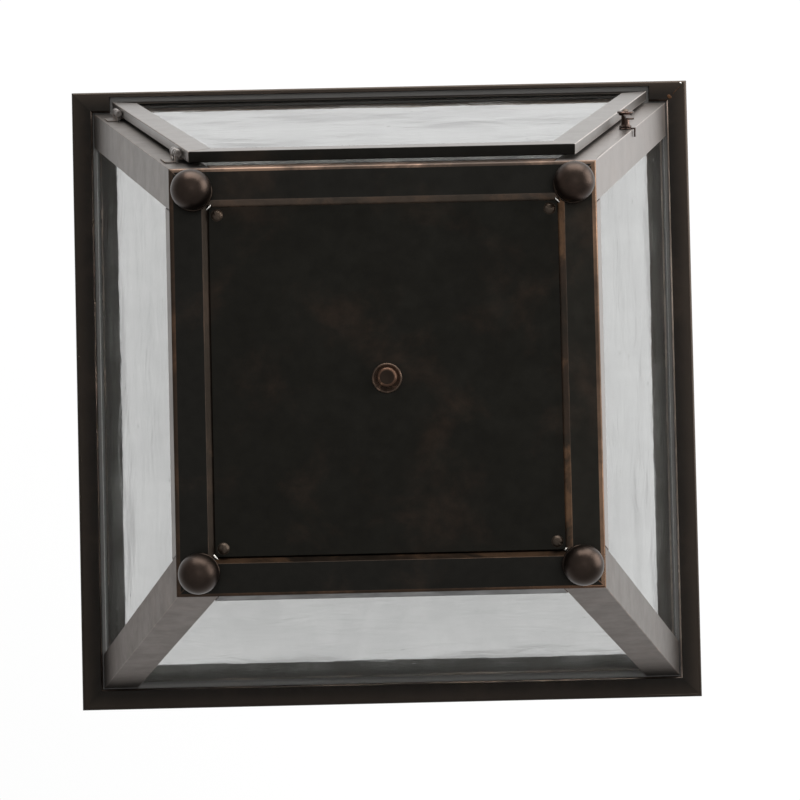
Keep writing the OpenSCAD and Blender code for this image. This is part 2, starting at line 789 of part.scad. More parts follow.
module latch_pivot_screw() {
    nut_t = 1.6;
    knob_top = arm_w0 + arm_t + latch_head_h;
    shank_low = -post_sheet - nut_t - 0.6;
    color(copper) latch_place() {
        translate([0, 0, shank_low]) cylinder(h = knob_top + play - shank_low, r = latch_pin_r);
        translate([0, 0, knob_top + play]) mirror([0, 0, 1]) round_head(latch_pin_r * 2, 0.9);
        translate([0, 0, -post_sheet - nut_t]) cylinder(h = nut_t, r = latch_pin_r * 2, $fn = 6);
    }
}

// Spring washer under the knob, with a tail that grips the post's corner from outside
module latch_spring_clip() {
    tail_in = 0.6;
    color(metal) {
        latch_place() difference() {
            cylinder(h = leaf_t, r = latch_disc_r);
            translate([0, 0, -cut]) cylinder(h = leaf_t + 2 * cut, r = latch_pin_r + play / 2);
        }
        on_side(0) at_corner(latch_v) {
            translate([-latch_inset + latch_disc_r * 0.8, -tail_w / 2, 0])
                cube([latch_inset - latch_disc_r * 0.8 + tail_in + leaf_t, tail_w, leaf_t]);
            translate([tail_in, -tail_w / 2, -tail_reach]) cube([leaf_t, tail_w, tail_reach + leaf_t]);
        }
    }
}

// Turned knob: lower disc and neck below the arm, head above it
module latch_knob() {
    disc_h = 1.5;
    head_z = arm_w0 + arm_t;
    color(metal) latch_place() difference() {
        union() {
            translate([0, 0, latch_base]) cylinder(h = disc_h, r = latch_disc_r);
            translate([0, 0, latch_base]) cylinder(h = arm_w0 - latch_base, r = latch_neck_r);
            translate([0, 0, arm_w0]) cylinder(h = arm_t, r = hub_r);
            translate([0, 0, head_z]) cylinder(h = latch_head_h, r = latch_head_r);
        }
        translate([0, 0, -cut]) cylinder(h = far / 10, r = latch_pin_r + pin_play);
    }
}

// The arm hangs straight down from the pivot by its own weight
module latch_arm() {
    color(copper) latch_place() translate([0, 0, arm_w0]) linear_extrude(height = arm_t) difference() {
        union() {
            circle(r = latch_head_r * 0.8);
            translate([-arm_w / 2, -arm_len]) square([arm_w, arm_len]);
            translate([0, -arm_len]) circle(r = arm_w * 0.7);
        }
        circle(r = hub_r);
    }
}

// ---- Nodes --------------------------------------------------------------------------------

rim_front();
rim_side(1);  // rim_right
rim_side(2);  // rim_back
rim_side(3);  // rim_left
ceiling_deck();
crossbar();
crossbar_screws();
cap_nuts();
ground_screw();
lamp_stem();
stem_nuts();
lamp_plate();
lampholder(0);  // lampholder_1
lampholder(1);  // lampholder_2
lampholder(2);  // lampholder_3
lampholder(3);  // lampholder_4
screw_shells();
centre_contacts();
lampholder_nuts();
corner_post(0);  // post_front_right
corner_post(1);  // post_back_right
corner_post(2);  // post_back_left
corner_post(3);  // post_front_left
fixed_pane(1);  // glass_right
fixed_pane(2);  // glass_back
fixed_pane(3);  // glass_left
glass_clips();
bottom_rail(0);  // bottom_rail_front
bottom_rail(1);  // bottom_rail_right
bottom_rail(2);  // bottom_rail_back
bottom_rail(3);  // bottom_rail_left
bottom_panel();
panel_screws();
ball_foot(0);  // ball_foot_front_right
ball_foot(1);  // ball_foot_back_right
ball_foot(2);  // ball_foot_back_left
ball_foot(3);  // ball_foot_front_left
foot_collars();
foot_nuts();
finial();
finial_rosette();
finial_nut();
hinge_post_leaf(hinge_low);  // hinge_post_leaf_low
hinge_post_leaf(hinge_high);  // hinge_post_leaf_high
hinge_pins();
latch_pivot_screw();
latch_spring_clip();
door_hinge_stile();
door_latch_stile();
door_top_rail();
door_bottom_rail();
door_glass();
door_glass_clips();
hinge_door_leaf(hinge_low);  // hinge_door_leaf_low
hinge_door_leaf(hinge_high);  // hinge_door_leaf_high
latch_knob();
latch_arm();
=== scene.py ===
"""Porch ceiling lantern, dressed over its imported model. Metres, +Z up, the door faces -Y."""
import json
import math
import random

import bmesh
import bpy
from mathutils import Euler, Matrix, Vector, noise

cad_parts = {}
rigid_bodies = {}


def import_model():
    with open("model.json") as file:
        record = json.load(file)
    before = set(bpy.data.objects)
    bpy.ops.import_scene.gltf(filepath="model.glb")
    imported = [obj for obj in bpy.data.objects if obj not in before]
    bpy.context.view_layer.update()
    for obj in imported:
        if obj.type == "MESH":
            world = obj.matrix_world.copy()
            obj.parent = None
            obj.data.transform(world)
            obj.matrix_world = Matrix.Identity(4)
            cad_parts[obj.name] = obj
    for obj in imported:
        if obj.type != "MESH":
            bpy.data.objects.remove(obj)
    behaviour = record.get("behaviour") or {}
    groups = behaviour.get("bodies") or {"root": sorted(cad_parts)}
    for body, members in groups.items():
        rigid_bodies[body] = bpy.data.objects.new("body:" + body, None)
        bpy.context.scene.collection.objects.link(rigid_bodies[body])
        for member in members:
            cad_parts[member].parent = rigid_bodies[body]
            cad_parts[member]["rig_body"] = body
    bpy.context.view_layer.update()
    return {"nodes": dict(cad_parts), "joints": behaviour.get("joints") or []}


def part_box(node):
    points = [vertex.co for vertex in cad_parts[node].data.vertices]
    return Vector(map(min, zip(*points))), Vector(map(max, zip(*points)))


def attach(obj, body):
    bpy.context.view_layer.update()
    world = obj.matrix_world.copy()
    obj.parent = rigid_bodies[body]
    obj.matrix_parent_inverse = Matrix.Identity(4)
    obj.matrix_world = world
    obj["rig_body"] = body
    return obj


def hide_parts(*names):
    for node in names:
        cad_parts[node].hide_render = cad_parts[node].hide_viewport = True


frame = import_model()

nodes = frame["nodes"]
joints = {joint["name"]: joint for joint in frame["joints"]}
MM = 0.001
SAME_POINT = 1e-7
CORNERS = ("front_right", "back_right", "back_left", "front_left")
QUARTERS = ((-1, -1), (1, -1), (1, 1), (-1, 1))


# ---- Materials ----------------------------------------------------------------------------

class Graph:
    """A material with one Principled shader and short calls for the nodes that feed it."""

    def __init__(self, name):
        self.mat = bpy.data.materials.new(name)
        self.mat.use_nodes = True
        self.tree = self.mat.node_tree
        self.tree.nodes.clear()
        self.shader = self.add("ShaderNodeBsdfPrincipled")
        out = self.add("ShaderNodeOutputMaterial")
        self.tree.links.new(self.shader.outputs[0], out.inputs["Surface"])
        self.place = self.add("ShaderNodeTexCoord").outputs["Object"]

    def add(self, kind, **facts):
        node = self.tree.nodes.new(kind)
        for key, value in facts.items():
            setattr(node, key, value)
        return node

    def put(self, node, socket, value):
        """Gives a socket a value, or links another node's output to it."""
        target = node.inputs[socket]
        if isinstance(value, bpy.types.NodeSocket):
            self.tree.links.new(value, target)
        elif isinstance(value, (tuple, list)) and len(value) == 3 and target.type == "RGBA":
            target.default_value = (*value, 1)
        else:
            target.default_value = value

    def set(self, **values):
        """Fills the shader's sockets and gives the material back."""
        for key, value in values.items():
            self.put(self.shader, key.replace("_", " "), value)
        return self.mat

    def noise(self, scale, detail=4.0, rough=0.55, twist=0.0):
        node = self.add("ShaderNodeTexNoise")
        self.put(node, "Vector", self.place)
        self.put(node, "Scale", scale)
        self.put(node, "Detail", detail)
        self.put(node, "Roughness", rough)
        self.put(node, "Distortion", twist)
        return node.outputs[0]

    def cells(self, scale):
        node = self.add("ShaderNodeTexVoronoi")
        self.put(node, "Vector", self.place)
        self.put(node, "Scale", scale)
        return node.outputs["Distance"]

    def level(self, value, low, high, to_low=0.0, to_high=1.0):
        node = self.add("ShaderNodeMapRange", interpolation_type="SMOOTHSTEP")
        for socket, number in enumerate((value, low, high, to_low, to_high)):
            self.put(node, socket, number)
        return node.outputs[0]

    def math(self, operation, a, b):
        node = self.add("ShaderNodeMath", operation=operation)
        self.put(node, 0, a)
        self.put(node, 1, b)
        return node.outputs[0]

    def mix(self, factor, a, b):
        """Blends two colours. They are the sockets 6 and 7 of the node, and its output 2."""
        node = self.add("ShaderNodeMix", data_type="RGBA")
        self.put(node, 0, factor)
        self.put(node, 6, a)
        self.put(node, 7, b)
        return node.outputs[2]

    def reach(self):
        """How far out a point lies from the lantern's middle, along X or Y, whichever is more."""
        split = self.add("ShaderNodeSeparateXYZ")
        self.put(split, 0, self.place)
        along_x = self.math("ABSOLUTE", split.outputs[0], 0)
        along_y = self.math("ABSOLUTE", split.outputs[1], 0)
        return self.math("MAXIMUM", along_x, along_y)

    def near(self, place, radius, gain):
        """The gain at a place, which fades to nothing at a radius from it."""
        away = self.add("ShaderNodeVectorMath", operation="DISTANCE")
        self.put(away, 0, self.place)
        self.put(away, 1, place)
        return self.level(away.outputs["Value"], 0.0, radius, gain, 0.0)

    def bump(self, height, strength, distance, under=None):
        node = self.add("ShaderNodeBump")
        self.put(node, "Strength", strength)
        self.put(node, "Distance", distance)
        self.put(node, "Height", height)
        if under is not None:
            self.put(node, "Normal", under)
        return node.outputs[0]


def scaled(colour, k):
    return tuple(c * k for c in colour)


def bronze(name, dark, brown, worn=None, patch=(0.50, 0.68), wear=None, wear_scale=70, rough=(0.30, 0.42),
           metal=0.85, edge=(1.0, 1.0, 1.0), outward=None, rubbed=(), dent=0.20, wax=0.0):
    """Oil-rubbed bronze: a dark skin with brown clouds, worn to another colour where wear is given.

    patch and wear are the levels of the noise over which one colour gives way to the next. edge is the
    share of the light that the skin still throws back at a grazing angle, and wax is the weight of a
    waxy film, which shows at grazing angles too. outward is (from, to, colour), in metres from the
    middle, for a skin that turns to another colour towards the lantern's outside: lighter on the rims,
    and darker at the deck's border as painted shade. rubbed holds the (place, radius) of spots where
    more of the worn colour shows; those at the rails' right-hand corners are painted light."""
    g = Graph(name)
    cloud = g.noise(26, detail=6, rough=0.62, twist=0.3)
    mottle = g.noise(190, detail=5, rough=0.6)
    grain = g.noise(1400, detail=3, rough=0.6)
    colour = g.mix(g.level(cloud, *patch), dark, brown)
    colour = g.mix(g.level(mottle, 0.30, 0.80, 0.0, 0.45), colour, scaled(dark, 0.55))
    if outward:
        start, end, lighter = outward
        colour = g.mix(g.level(g.reach(), start, end), colour, lighter)
    roughness = g.level(g.noise(75, detail=4, rough=0.6), 0.30, 0.72, *rough)
    if wear:
        amount = g.noise(wear_scale, detail=7, rough=0.68, twist=0.5)
        for place, radius in rubbed:
            amount = g.math("ADD", amount, g.near(place, radius, gain=0.22))
        mask = g.level(amount, *wear)
        colour = g.mix(mask, colour, worn)
        roughness = g.math("MULTIPLY", roughness, g.level(mask, 0, 1, 1.0, 0.8))
    skin = g.bump(grain, 0.22, 0.06 * MM)
    skin = g.bump(mottle, dent, 0.3 * MM, skin)
    return g.set(Base_Color=colour, Metallic=metal, Roughness=roughness, Specular_Tint=edge, Normal=skin,
                 Coat_Weight=wax, Coat_Roughness=0.36, Coat_IOR=1.5, Coat_Normal=skin)


def plain_metal(name, colour, blot_colour, rough, scale=160, metal=1.0):
    """A plain finish with soft blots and a fine grain."""
    g = Graph(name)
    blot = g.noise(scale, detail=5, rough=0.6)
    grain = g.noise(scale * 9, detail=3, rough=0.6)
    return g.set(Base_Color=g.mix(g.level(blot, 0.32, 0.7), colour, blot_colour), Metallic=metal,
                 Roughness=g.level(grain, 0.3, 0.7, rough * 0.8, rough * 1.2),
                 Normal=g.bump(grain, 0.15, 0.06 * MM))


def seedy_glass():
    """Old rolled glass: soft ripples, finer rolling marks and a few blisters, all as relief."""
    g = Graph("seedy_glass")
    ripple = g.noise(34, detail=3, rough=0.5, twist=0.6)
    fine = g.noise(170, detail=3, rough=0.5)
    seeds = g.level(g.cells(48), 0.015, 0.060, 1.0, 0.0)
    relief = g.bump(ripple, 0.5, 0.12 * MM)
    relief = g.bump(fine, 0.5, 0.02 * MM, relief)
    relief = g.bump(seeds, 0.5, 0.12 * MM, relief)
    return g.set(Base_Color=(0.94, 0.96, 0.95), Roughness=g.level(fine, 0.3, 0.8, 0.0, 0.02),
                 IOR=1.5, Transmission_Weight=1.0, Normal=relief)


def rim_skin(name, lift):
    """The rim's dark skin, lighter towards its outer edge. lift makes a lit copy, painted lighter for the
    front and right sides, which face the lamps.
    """
    return bronze(name, scaled((0.0145, 0.0122, 0.0103), lift), scaled((0.024, 0.0180, 0.0142), lift),
                  rough=(0.34, 0.46), outward=(0.167, 0.179, scaled((0.036, 0.0280, 0.0222), lift)))


# The rim's skin, and below it a lit copy painted lighter for the sides that face the lamps
m_rim = rim_skin("rim_bronze", 1.0)
m_rim_lit = rim_skin("rim_bronze_lit", 1.3)
# The hems' lighter fold is partly wear and partly a painted highlight; the right hem's pale copy is a painted
# highlight.
m_rim_hem = bronze("hem_rubbed_and_highlight", (0.080, 0.061, 0.050), (0.12, 0.090, 0.072), (0.20, 0.145, 0.115),
                   wear=(0.42, 0.70), wear_scale=26, metal=0.7)
m_rim_hem_highlight = bronze("hem_rubbed_and_highlight_light", (0.42, 0.34, 0.29), (0.55, 0.45, 0.38), (0.70, 0.58, 0.50),
                         wear=(0.38, 0.64), wear_scale=26, metal=0.2)
m_plate = bronze("plate_bronze", (0.0130, 0.0122, 0.0102), (0.027, 0.0200, 0.0150),
                 patch=(0.52, 0.74), rough=(0.34, 0.46))
# A lit copy of the plate's skin for the right rail, painted light from the right lamp.
m_plate_lit_right = bronze("plate_bronze_lit_right", (0.0180, 0.0165, 0.0132), (0.034, 0.0250, 0.0185),
                       patch=(0.52, 0.74), rough=(0.34, 0.46))
m_panel = bronze("panel_bronze", (0.0112, 0.0104, 0.0080), (0.026, 0.0178, 0.0126),
                 patch=(0.48, 0.74), rough=(0.36, 0.50))


def post_skin(name, tint, wax=0.0, lift=1.0):
    """The posts' satin skin. tint, wax and lift make lighter, glossier copies of it, painted light for the
    posts and faces that the lamps reach more.
    """
    return bronze(name, scaled((0.081, 0.0735, 0.068), lift), scaled((0.100, 0.085, 0.076), lift),
                  patch=(0.46, 0.80), rough=(0.38, 0.46), metal=0.75, edge=tint, dent=0.04, wax=wax)


m_post = post_skin("post_bronze", (0.86, 0.80, 0.765))
m_post_half_lit = post_skin("post_bronze_half_lit", (1.0, 0.95, 0.91), wax=0.35)
m_post_lit = post_skin("post_bronze_lit", (1.0, 0.92, 0.88), wax=1.0, lift=1.9)
POST_WEAR = {"wear": (0.50, 0.74), "wear_scale": 40, "rough": (0.36, 0.46), "dent": 0.06}
# The rounded edges of posts and stiles: worn lighter and with a painted highlight, which the brighter copy
# carries most.
m_post_edge = bronze("post_rubbed_and_highlight", (0.17, 0.140, 0.120), (0.22, 0.170, 0.142), (0.30, 0.215, 0.175),
                     metal=0.9, **POST_WEAR)
m_post_edge_highlight = bronze("post_rubbed_and_highlight_light", (0.42, 0.385, 0.36), (0.50, 0.455, 0.42), (0.60, 0.54, 0.50),
                           metal=0.7, wax=0.5, **POST_WEAR)

# The bottom's bends and folds. Each side is a lighter or darker copy painted to the light it gets: lit on the
# front and right, shaded at the back. The spots at the rails' right-hand corners are painted light.
RAIL_WEAR_AND_LIGHT = {"wear": (0.48, 0.80), "wear_scale": 30,
             "rubbed": (((0.098, -0.090, -0.275), 0.07), ((0.098, 0.085, -0.275), 0.09))}
m_rail_edge = bronze("rail_rubbed_and_lit", (0.046, 0.031, 0.022), (0.076, 0.046, 0.030), (0.145, 0.080, 0.048),
                     **RAIL_WEAR_AND_LIGHT)
m_rail_front_lit = bronze("front_rail_rubbed_and_lit", (0.060, 0.040, 0.029), (0.12, 0.078, 0.054), (0.25, 0.160, 0.112),
                      wear=(0.40, 0.64), wear_scale=26, metal=0.5, rough=(0.38, 0.46))
m_rail_right_lit = bronze("right_rail_rubbed_and_lit", (0.085, 0.056, 0.039), (0.13, 0.084, 0.057), (0.23, 0.140, 0.090),
                      **RAIL_WEAR_AND_LIGHT)
# The folds: one brown painted lighter or darker on each side as painted light and shade; the lines beside
# them are wear with a painted highlight.
m_fold_left = bronze("fold_left", (0.034, 0.0262, 0.0205), (0.054, 0.038, 0.0285), (0.085, 0.055, 0.038),
                     patch=(0.42, 0.66), wear=(0.50, 0.74), wear_scale=50, rough=(0.45, 0.55), metal=0.5,
                     edge=(0.5, 0.44, 0.38))
m_fold = bronze("fold_brown_lit", (0.112, 0.089, 0.070), (0.155, 0.112, 0.084), (0.21, 0.137, 0.095),
                patch=(0.42, 0.66), wear=(0.50, 0.74), wear_scale=50, rough=(0.45, 0.55), metal=0.25)
m_fold_shaded = bronze("fold_shaded", (0.0125, 0.0098, 0.0078), (0.024, 0.0165, 0.0120), (0.046, 0.0280, 0.0175),
                     patch=(0.42, 0.66), wear=(0.50, 0.74), wear_scale=50, rough=(0.50, 0.60), metal=1.0,
                     edge=(0.30, 0.26, 0.22),
                     rubbed=(((-0.068, 0.0835, -0.273), 0.045), ((0.060, 0.0835, -0.273), 0.045)))
m_fold_lit_right = bronze("fold_rubbed_and_lit", (0.052, 0.041, 0.031), (0.082, 0.054, 0.038), (0.25, 0.142, 0.080),
                       patch=(0.38, 0.60), wear=(0.54, 0.78), wear_scale=50, rough=(0.45, 0.55), metal=0.25,
                       rubbed=(((0.0835, 0.066, -0.273), 0.050), ((0.0835, -0.070, -0.273), 0.030)))
m_fold_line_worn_and_highlight = bronze("fold_line_worn_and_highlight", (0.060, 0.043, 0.032), (0.090, 0.060, 0.043), (0.30, 0.175, 0.105),
                     wear=(0.52, 0.84), wear_scale=34, metal=0.5, rubbed=(((0.083, 0.070, -0.273), 0.07),))

m_ball = bronze("ball_bronze", (0.046, 0.034, 0.028), (0.074, 0.049, 0.039), rough=(0.33, 0.41), metal=1.0)
m_turned = bronze("turned_bronze", (0.042, 0.032, 0.024), (0.070, 0.048, 0.034), (0.20, 0.13, 0.092),
                  wear=(0.56, 0.76), wear_scale=200, rough=(0.26, 0.34))
m_screw = bronze("screw_bronze", (0.075, 0.057, 0.044), (0.11, 0.072, 0.050), rough=(0.34, 0.44))
m_latch = bronze("latch_bronze", (0.070, 0.047, 0.038), (0.12, 0.075, 0.060), (0.34, 0.22, 0.18),
                 wear=(0.54, 0.72), wear_scale=180, rough=(0.30, 0.38))
m_hinge = plain_metal("hinge_worn", (0.36, 0.335, 0.32), (0.17, 0.152, 0.14), 0.32, 300)
m_zinc = plain_metal("zinc_steel", (0.60, 0.61, 0.60), (0.42, 0.43, 0.42), 0.34)
m_brass = plain_metal("brass", (0.80, 0.60, 0.28), (0.62, 0.43, 0.18), 0.26)
m_tin = plain_metal("tin_solder", (0.90, 0.89, 0.86), (0.74, 0.72, 0.68), 0.16, 500)
m_green = plain_metal("green_screw", (0.04, 0.22, 0.08), (0.03, 0.14, 0.06), 0.40, metal=0.6)
m_phenolic = plain_metal("phenolic", (0.030, 0.026, 0.024), (0.018, 0.016, 0.015), 0.38, metal=0.0)
m_glass = seedy_glass()


# ---- Ways to make a piece -----------------------------------------------------------------

def linked(name, data):
    """A new object in the scene."""
    obj = bpy.data.objects.new(name, data)
    bpy.context.scene.collection.objects.link(obj)
    return obj


def made(name, bm, mats, smooth=True):
    """A new object from a bmesh, which is freed."""
    mesh = bpy.data.meshes.new(name)
    bm.normal_update()
    bm.to_mesh(mesh)
    bm.free()
    for mat in mats:
        mesh.materials.append(mat)
    if smooth:
        for poly in mesh.polygons:
            poly.use_smooth = True
    return linked(name, mesh)


def settled(obj):
    """The object's modifiers applied to its mesh."""
    bpy.context.view_layer.update()
    mesh = bpy.data.meshes.new_from_object(obj.evaluated_get(bpy.context.evaluated_depsgraph_get()))
    obj.modifiers.clear()
    old, obj.data = obj.data, mesh
    mesh.name = obj.name
    bpy.data.meshes.remove(old)
    return obj


def mark_crisp(obj, sharp):
    """Marks the edges that stay crisp, which bend by more than sharp degrees."""
    bm = bmesh.new()
    bm.from_mesh(obj.data)
    for edge in bm.edges:
        edge.smooth = not (len(edge.link_faces) == 2 and edge.calc_face_angle(0) > math.radians(sharp))
    bm.to_mesh(obj.data)
    bm.free()


def weighted(obj, sharp=None):
    """Normals that keep the flat faces flat."""
    if sharp is not None:
        mark_crisp(obj, sharp)
    mod = obj.modifiers.new("even_normals", "WEIGHTED_NORMAL")
    mod.weight = 100
    mod.keep_sharp = sharp is not None
    return settled(obj)


def fit(obj, slot, *names):
    """The piece stands for these nodes and moves with their body."""
    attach(obj, nodes[names[0]]["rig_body"])
    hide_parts(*names)
    return obj


def shape_of(name):
    """A node's exact solid as a bmesh, with its flat faces whole."""
    bm = bmesh.new()
    bm.from_mesh(nodes[name].data)
    bmesh.ops.remove_doubles(bm, verts=bm.verts, dist=1e-6)
    bmesh.ops.dissolve_limit(bm, angle_limit=math.radians(0.6), verts=bm.verts, edges=bm.edges)
    return bm


def soft_edged(name, slot, width, mats, least=3.0, wide=(), paint=None):
    """A node with its sharp edges rounded by width, from least in length, both in mm.

    wide holds (radius in mm, test of an edge) for the larger bends. What is rounded takes the second
    material. paint gives a face another one by its index, or None to leave it."""
    sharp = math.radians(25)
    bm = shape_of(name)
    for face in bm.faces:
        face.material_index = 0

    def sharp_edges():
        return [e for e in bm.edges if len(e.link_faces) == 2 and e.calc_length() > least * MM
                and e.calc_face_angle(0) > sharp]

    def rounded(edges, radius, segments):
        if not edges:
            return
        done = bmesh.ops.bevel(bm, geom=edges, offset=radius * MM, offset_type="OFFSET", segments=segments,
                               profile=0.5, affect="EDGES", clamp_overlap=False, loop_slide=False)
        for face in done["faces"]:
            face.material_index = 1

    for radius, test in wide:
        rounded([e for e in sharp_edges() if test(e)], radius, 5)
        bm.normal_update()
    bends = {f for f in bm.faces if f.material_index}
    if width:
        rounded([e for e in sharp_edges() if not set(e.link_faces) & bends], width, 2)
    bm.normal_update()
    if paint:
        for face in bm.faces:
            index = paint(face)
            if index is not None:
                face.material_index = index
    bmesh.ops.recalc_face_normals(bm, faces=bm.faces)
    return fit(weighted(made(name + "_dressed", bm, mats)), slot, name)


def lathe_into(bm, profile, place, steps=72):
    """Turns (radius, height) points in mm about the place's Z axis. A zero radius closes an end."""
    rings = []
    for r, z in profile:
        if r < 1e-6:
            rings.append([bm.verts.new(place @ Vector((0, 0, z * MM)))])
            continue
        ring = []
        for i in range(steps):
            angle = 2 * math.pi * i / steps
            point = Vector((r * MM * math.cos(angle), r * MM * math.sin(angle), z * MM))
            ring.append(bm.verts.new(place @ point))
        rings.append(ring)
    for a, b in zip(rings, rings[1:]):
        for i in range(steps):
            j = (i + 1) % steps
            unique = []
            for vert in (a[i % len(a)], a[j % len(a)], b[j % len(b)], b[i % len(b)]):
                if vert not in unique:
                    unique.append(vert)
            if len(unique) > 2:
                bm.faces.new(unique)


def arc(r, z, radius, start, end, steps=8):
    """Points on an arc about (r, z), in mm, with angles in degrees from the outward direction."""
    angles = [math.radians(start + (end - start) * k / steps) for k in range(steps + 1)]
    return [(r + radius * math.cos(a), z + radius * math.sin(a)) for a in angles]


def turned(name, slot, bm, mats, sharp):
    """A turned piece that replaces the node of its name. Bends over sharp degrees stay crisp."""
    bmesh.ops.remove_doubles(bm, verts=bm.verts, dist=SAME_POINT)
    bmesh.ops.recalc_face_normals(bm, faces=bm.faces)
    return fit(weighted(made(name + "_dressed", bm, mats), sharp), slot, name)


def centre(name):
    low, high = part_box(name)
    return (low + high) / 2


def reach(point):
    """How far out a point lies from the lantern's middle, along X or Y, whichever is more."""
    return max(abs(point.x), abs(point.y))


def lies_along(edge, z, length):
    """Whether an edge lies at a height and is longer than a length."""
    return all(abs(v.co.z - z) < 0.1 * MM for v in edge.verts) and edge.calc_length() > length


# ---- Rim, deck and posts ------------------------------------------------------------------

rim_low, rim_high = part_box("rim_right")
inner_edge = rim_low.x
hem_z = rim_low.z
HEM_H = 3 * MM


def toward_body(face):
    """Paints the rounded fold at the flange's inner edge alone, which takes the hem's worn colour and painted
    highlight.
    """
    n, c = face.normal, face.calc_center_median()
    across = 0 if abs(c.x) > abs(c.y) else 1
    faces_in = n[across] * math.copysign(1, c[across]) < -0.3
    return 1 if faces_in and n.z < 0.35 and c.z < hem_z + HEM_H else 0


def low_corner(edge):
    """The rim's outer bend, between its face and its lower flange."""
    return lies_along(edge, hem_z, 0.2) and min(reach(v.co) for v in edge.verts) > rim_high.x - 0.2 * MM


def hem_edge(edge):
    """The fold of the hem at the lower flange's inner edge."""
    return lies_along(edge, hem_z, 0.1) and max(reach(v.co) for v in edge.verts) < inner_edge + 0.3 * MM


# The front and right rims take the lit copy of the skin, painted light; the right hem takes the pale painted
# highlight.
for side, skin, hem in (("front", m_rim_lit, m_rim_hem), ("right", m_rim_lit, m_rim_hem_highlight),
                        ("back", m_rim, m_rim_hem), ("left", m_rim, m_rim_hem)):
    soft_edged("rim_" + side, "dark_bronze", 0.35, [skin, hem], wide=[(2.2, low_corner), (1.1, hem_edge)],
               paint=toward_body)

# The deck's underside: a light grey, darker at its border next to the rim as painted shade.
m_deck_shaded_border = bronze("deck_satin_shaded_border", (0.50, 0.50, 0.495), (0.28, 0.28, 0.275), patch=(0.38, 0.60), rough=(0.5, 0.6),
                metal=0.3, outward=(0.153, 0.159, (0.19, 0.185, 0.18)))


def deck_underside(face):
    return 1 if face.normal.z < -0.5 else None


# The back right post's right flange takes the half-lit copy, painted light from the right lamp.
def right_flange(face):
    return 2 if face.normal.x > 0.9 else None


soft_edged("ceiling_deck", "dark_bronze", 0, [m_rim, m_deck_shaded_border], paint=deck_underside)
# Each post takes a copy of the skin painted to the light it gets: the front right post is lit most, the front
# left half lit.
for corner, skin, edge, paint in (("front_right", m_post_lit, m_post_edge_highlight, None),
                                  ("back_right", m_post, m_post_edge, right_flange),
                                  ("back_left", m_post, m_post_edge, None),
                                  ("front_left", m_post_half_lit, m_post_edge, None)):
    soft_edged("post_" + corner, "satin_bronze", 0.42, [skin, edge, m_post_half_lit], paint=paint)


# ---- Door, hinges and latch ---------------------------------------------------------------

m_stile = bronze("door_bronze", (0.020, 0.0172, 0.0150), (0.030, 0.0245, 0.020), patch=(0.50, 0.78),
                 rough=(0.36, 0.46), metal=0.9, edge=(0.36, 0.33, 0.30), dent=0.05)
# A lit copy of the door's skin, painted lighter and waxier for the stiles and the bottom rail.
m_stile_lit = bronze("door_bronze_lit", (0.105, 0.0940, 0.086), (0.130, 0.110, 0.098), patch=(0.46, 0.80),
                       rough=(0.34, 0.42), metal=0.75, edge=(1.0, 0.97, 0.94), dent=0.03, wax=0.9)

swing_at = Vector(joints["door_swing"]["pos_m"])
swing_axis = Vector(joints["door_swing"]["axis"]).normalized()
latch_at = Vector(joints["latch_turn"]["pos_m"])
latch_out = Vector(joints["latch_turn"]["axis"]).normalized()
if latch_out.y > 0:
    latch_out = -latch_out
KNUCKLE_REACH = 2.3 * MM


def underside(face):
    """The door's lower faces take the plate's darker skin, painted shade beside the lit copy on its other
    faces.
    """
    return 2 if face.normal.z < -0.8 else None


def hinge_leaf(face):
    """The leaves take the posts' half-lit copy, painted light, and their edges the front fold's lit brown.
    Their knuckles are worn bright.
    A leaf lies square to the latch's axis, like the front it is fixed to."""
    away = face.calc_center_median() - swing_at
    if (away - swing_axis * away.dot(swing_axis)).length < KNUCKLE_REACH:
        return 1
    return 0 if abs(face.normal.dot(latch_out)) > 0.97 else 2


# The stiles and the bottom rail take the door's lit copy; the latch stile's edges take the brightest painted
# highlight.
for part, skin, edge in (("door_hinge_stile", m_stile_lit, m_post_edge),
                         ("door_top_rail", m_stile, m_stile),
                         ("door_latch_stile", m_stile_lit, m_post_edge_highlight),
                         ("door_bottom_rail", m_stile_lit, m_stile)):
    soft_edged(part, "satin_bronze", 0.4, [skin, edge, m_plate], paint=underside)
for part in ("hinge_post_leaf_low", "hinge_post_leaf_high", "hinge_door_leaf_low", "hinge_door_leaf_high"):
    soft_edged(part, "rubbed_copper", 0.15, [m_post_half_lit, m_hinge, m_fold], least=1.0, paint=hinge_leaf)
soft_edged("latch_arm", "rubbed_copper", 0.25, [m_latch, m_latch], least=1.0)
soft_edged("latch_spring_clip", "dark_bronze", 0.15, [m_latch, m_latch], least=1.0)


# ---- Bottom -------------------------------------------------------------------------------

plate_low, plate_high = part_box("bottom_rail_right")
outer_bend = plate_high.x
BORDER_W = 9 * MM
SLOPE_W = 6 * MM
FOLD_OUT = 86.2 * MM
fold_top = plate_low.z + 4.2 * MM


def outer_corner(edge):
    """The bend between a rail's sloped face and its flat border."""
    return lies_along(edge, plate_low.z, 0.1) and min(reach(v.co) for v in edge.verts) > outer_bend - BORDER_W


def rail_paint(face):
    """A rail's skins: 1 on the front's sloped outer face, 2 on the fold up to the panel, 3 on the
    rounded lines on both sides of the fold, and 4 on the sloped outer faces of the right and left."""
    n, c = face.normal, face.calc_center_median()
    if n.y < -0.9 and c.y < -outer_bend + SLOPE_W:
        return 1
    if c.z < fold_top and reach(c) < FOLD_OUT and 0.35 < -n.z < 0.93:
        return 2
    if c.z < fold_top and reach(c) < outer_bend - BORDER_W and face.material_index == 1:
        return 3
    return 4 if abs(n.x) > 0.9 and abs(c.x) > outer_bend - SLOPE_W else None


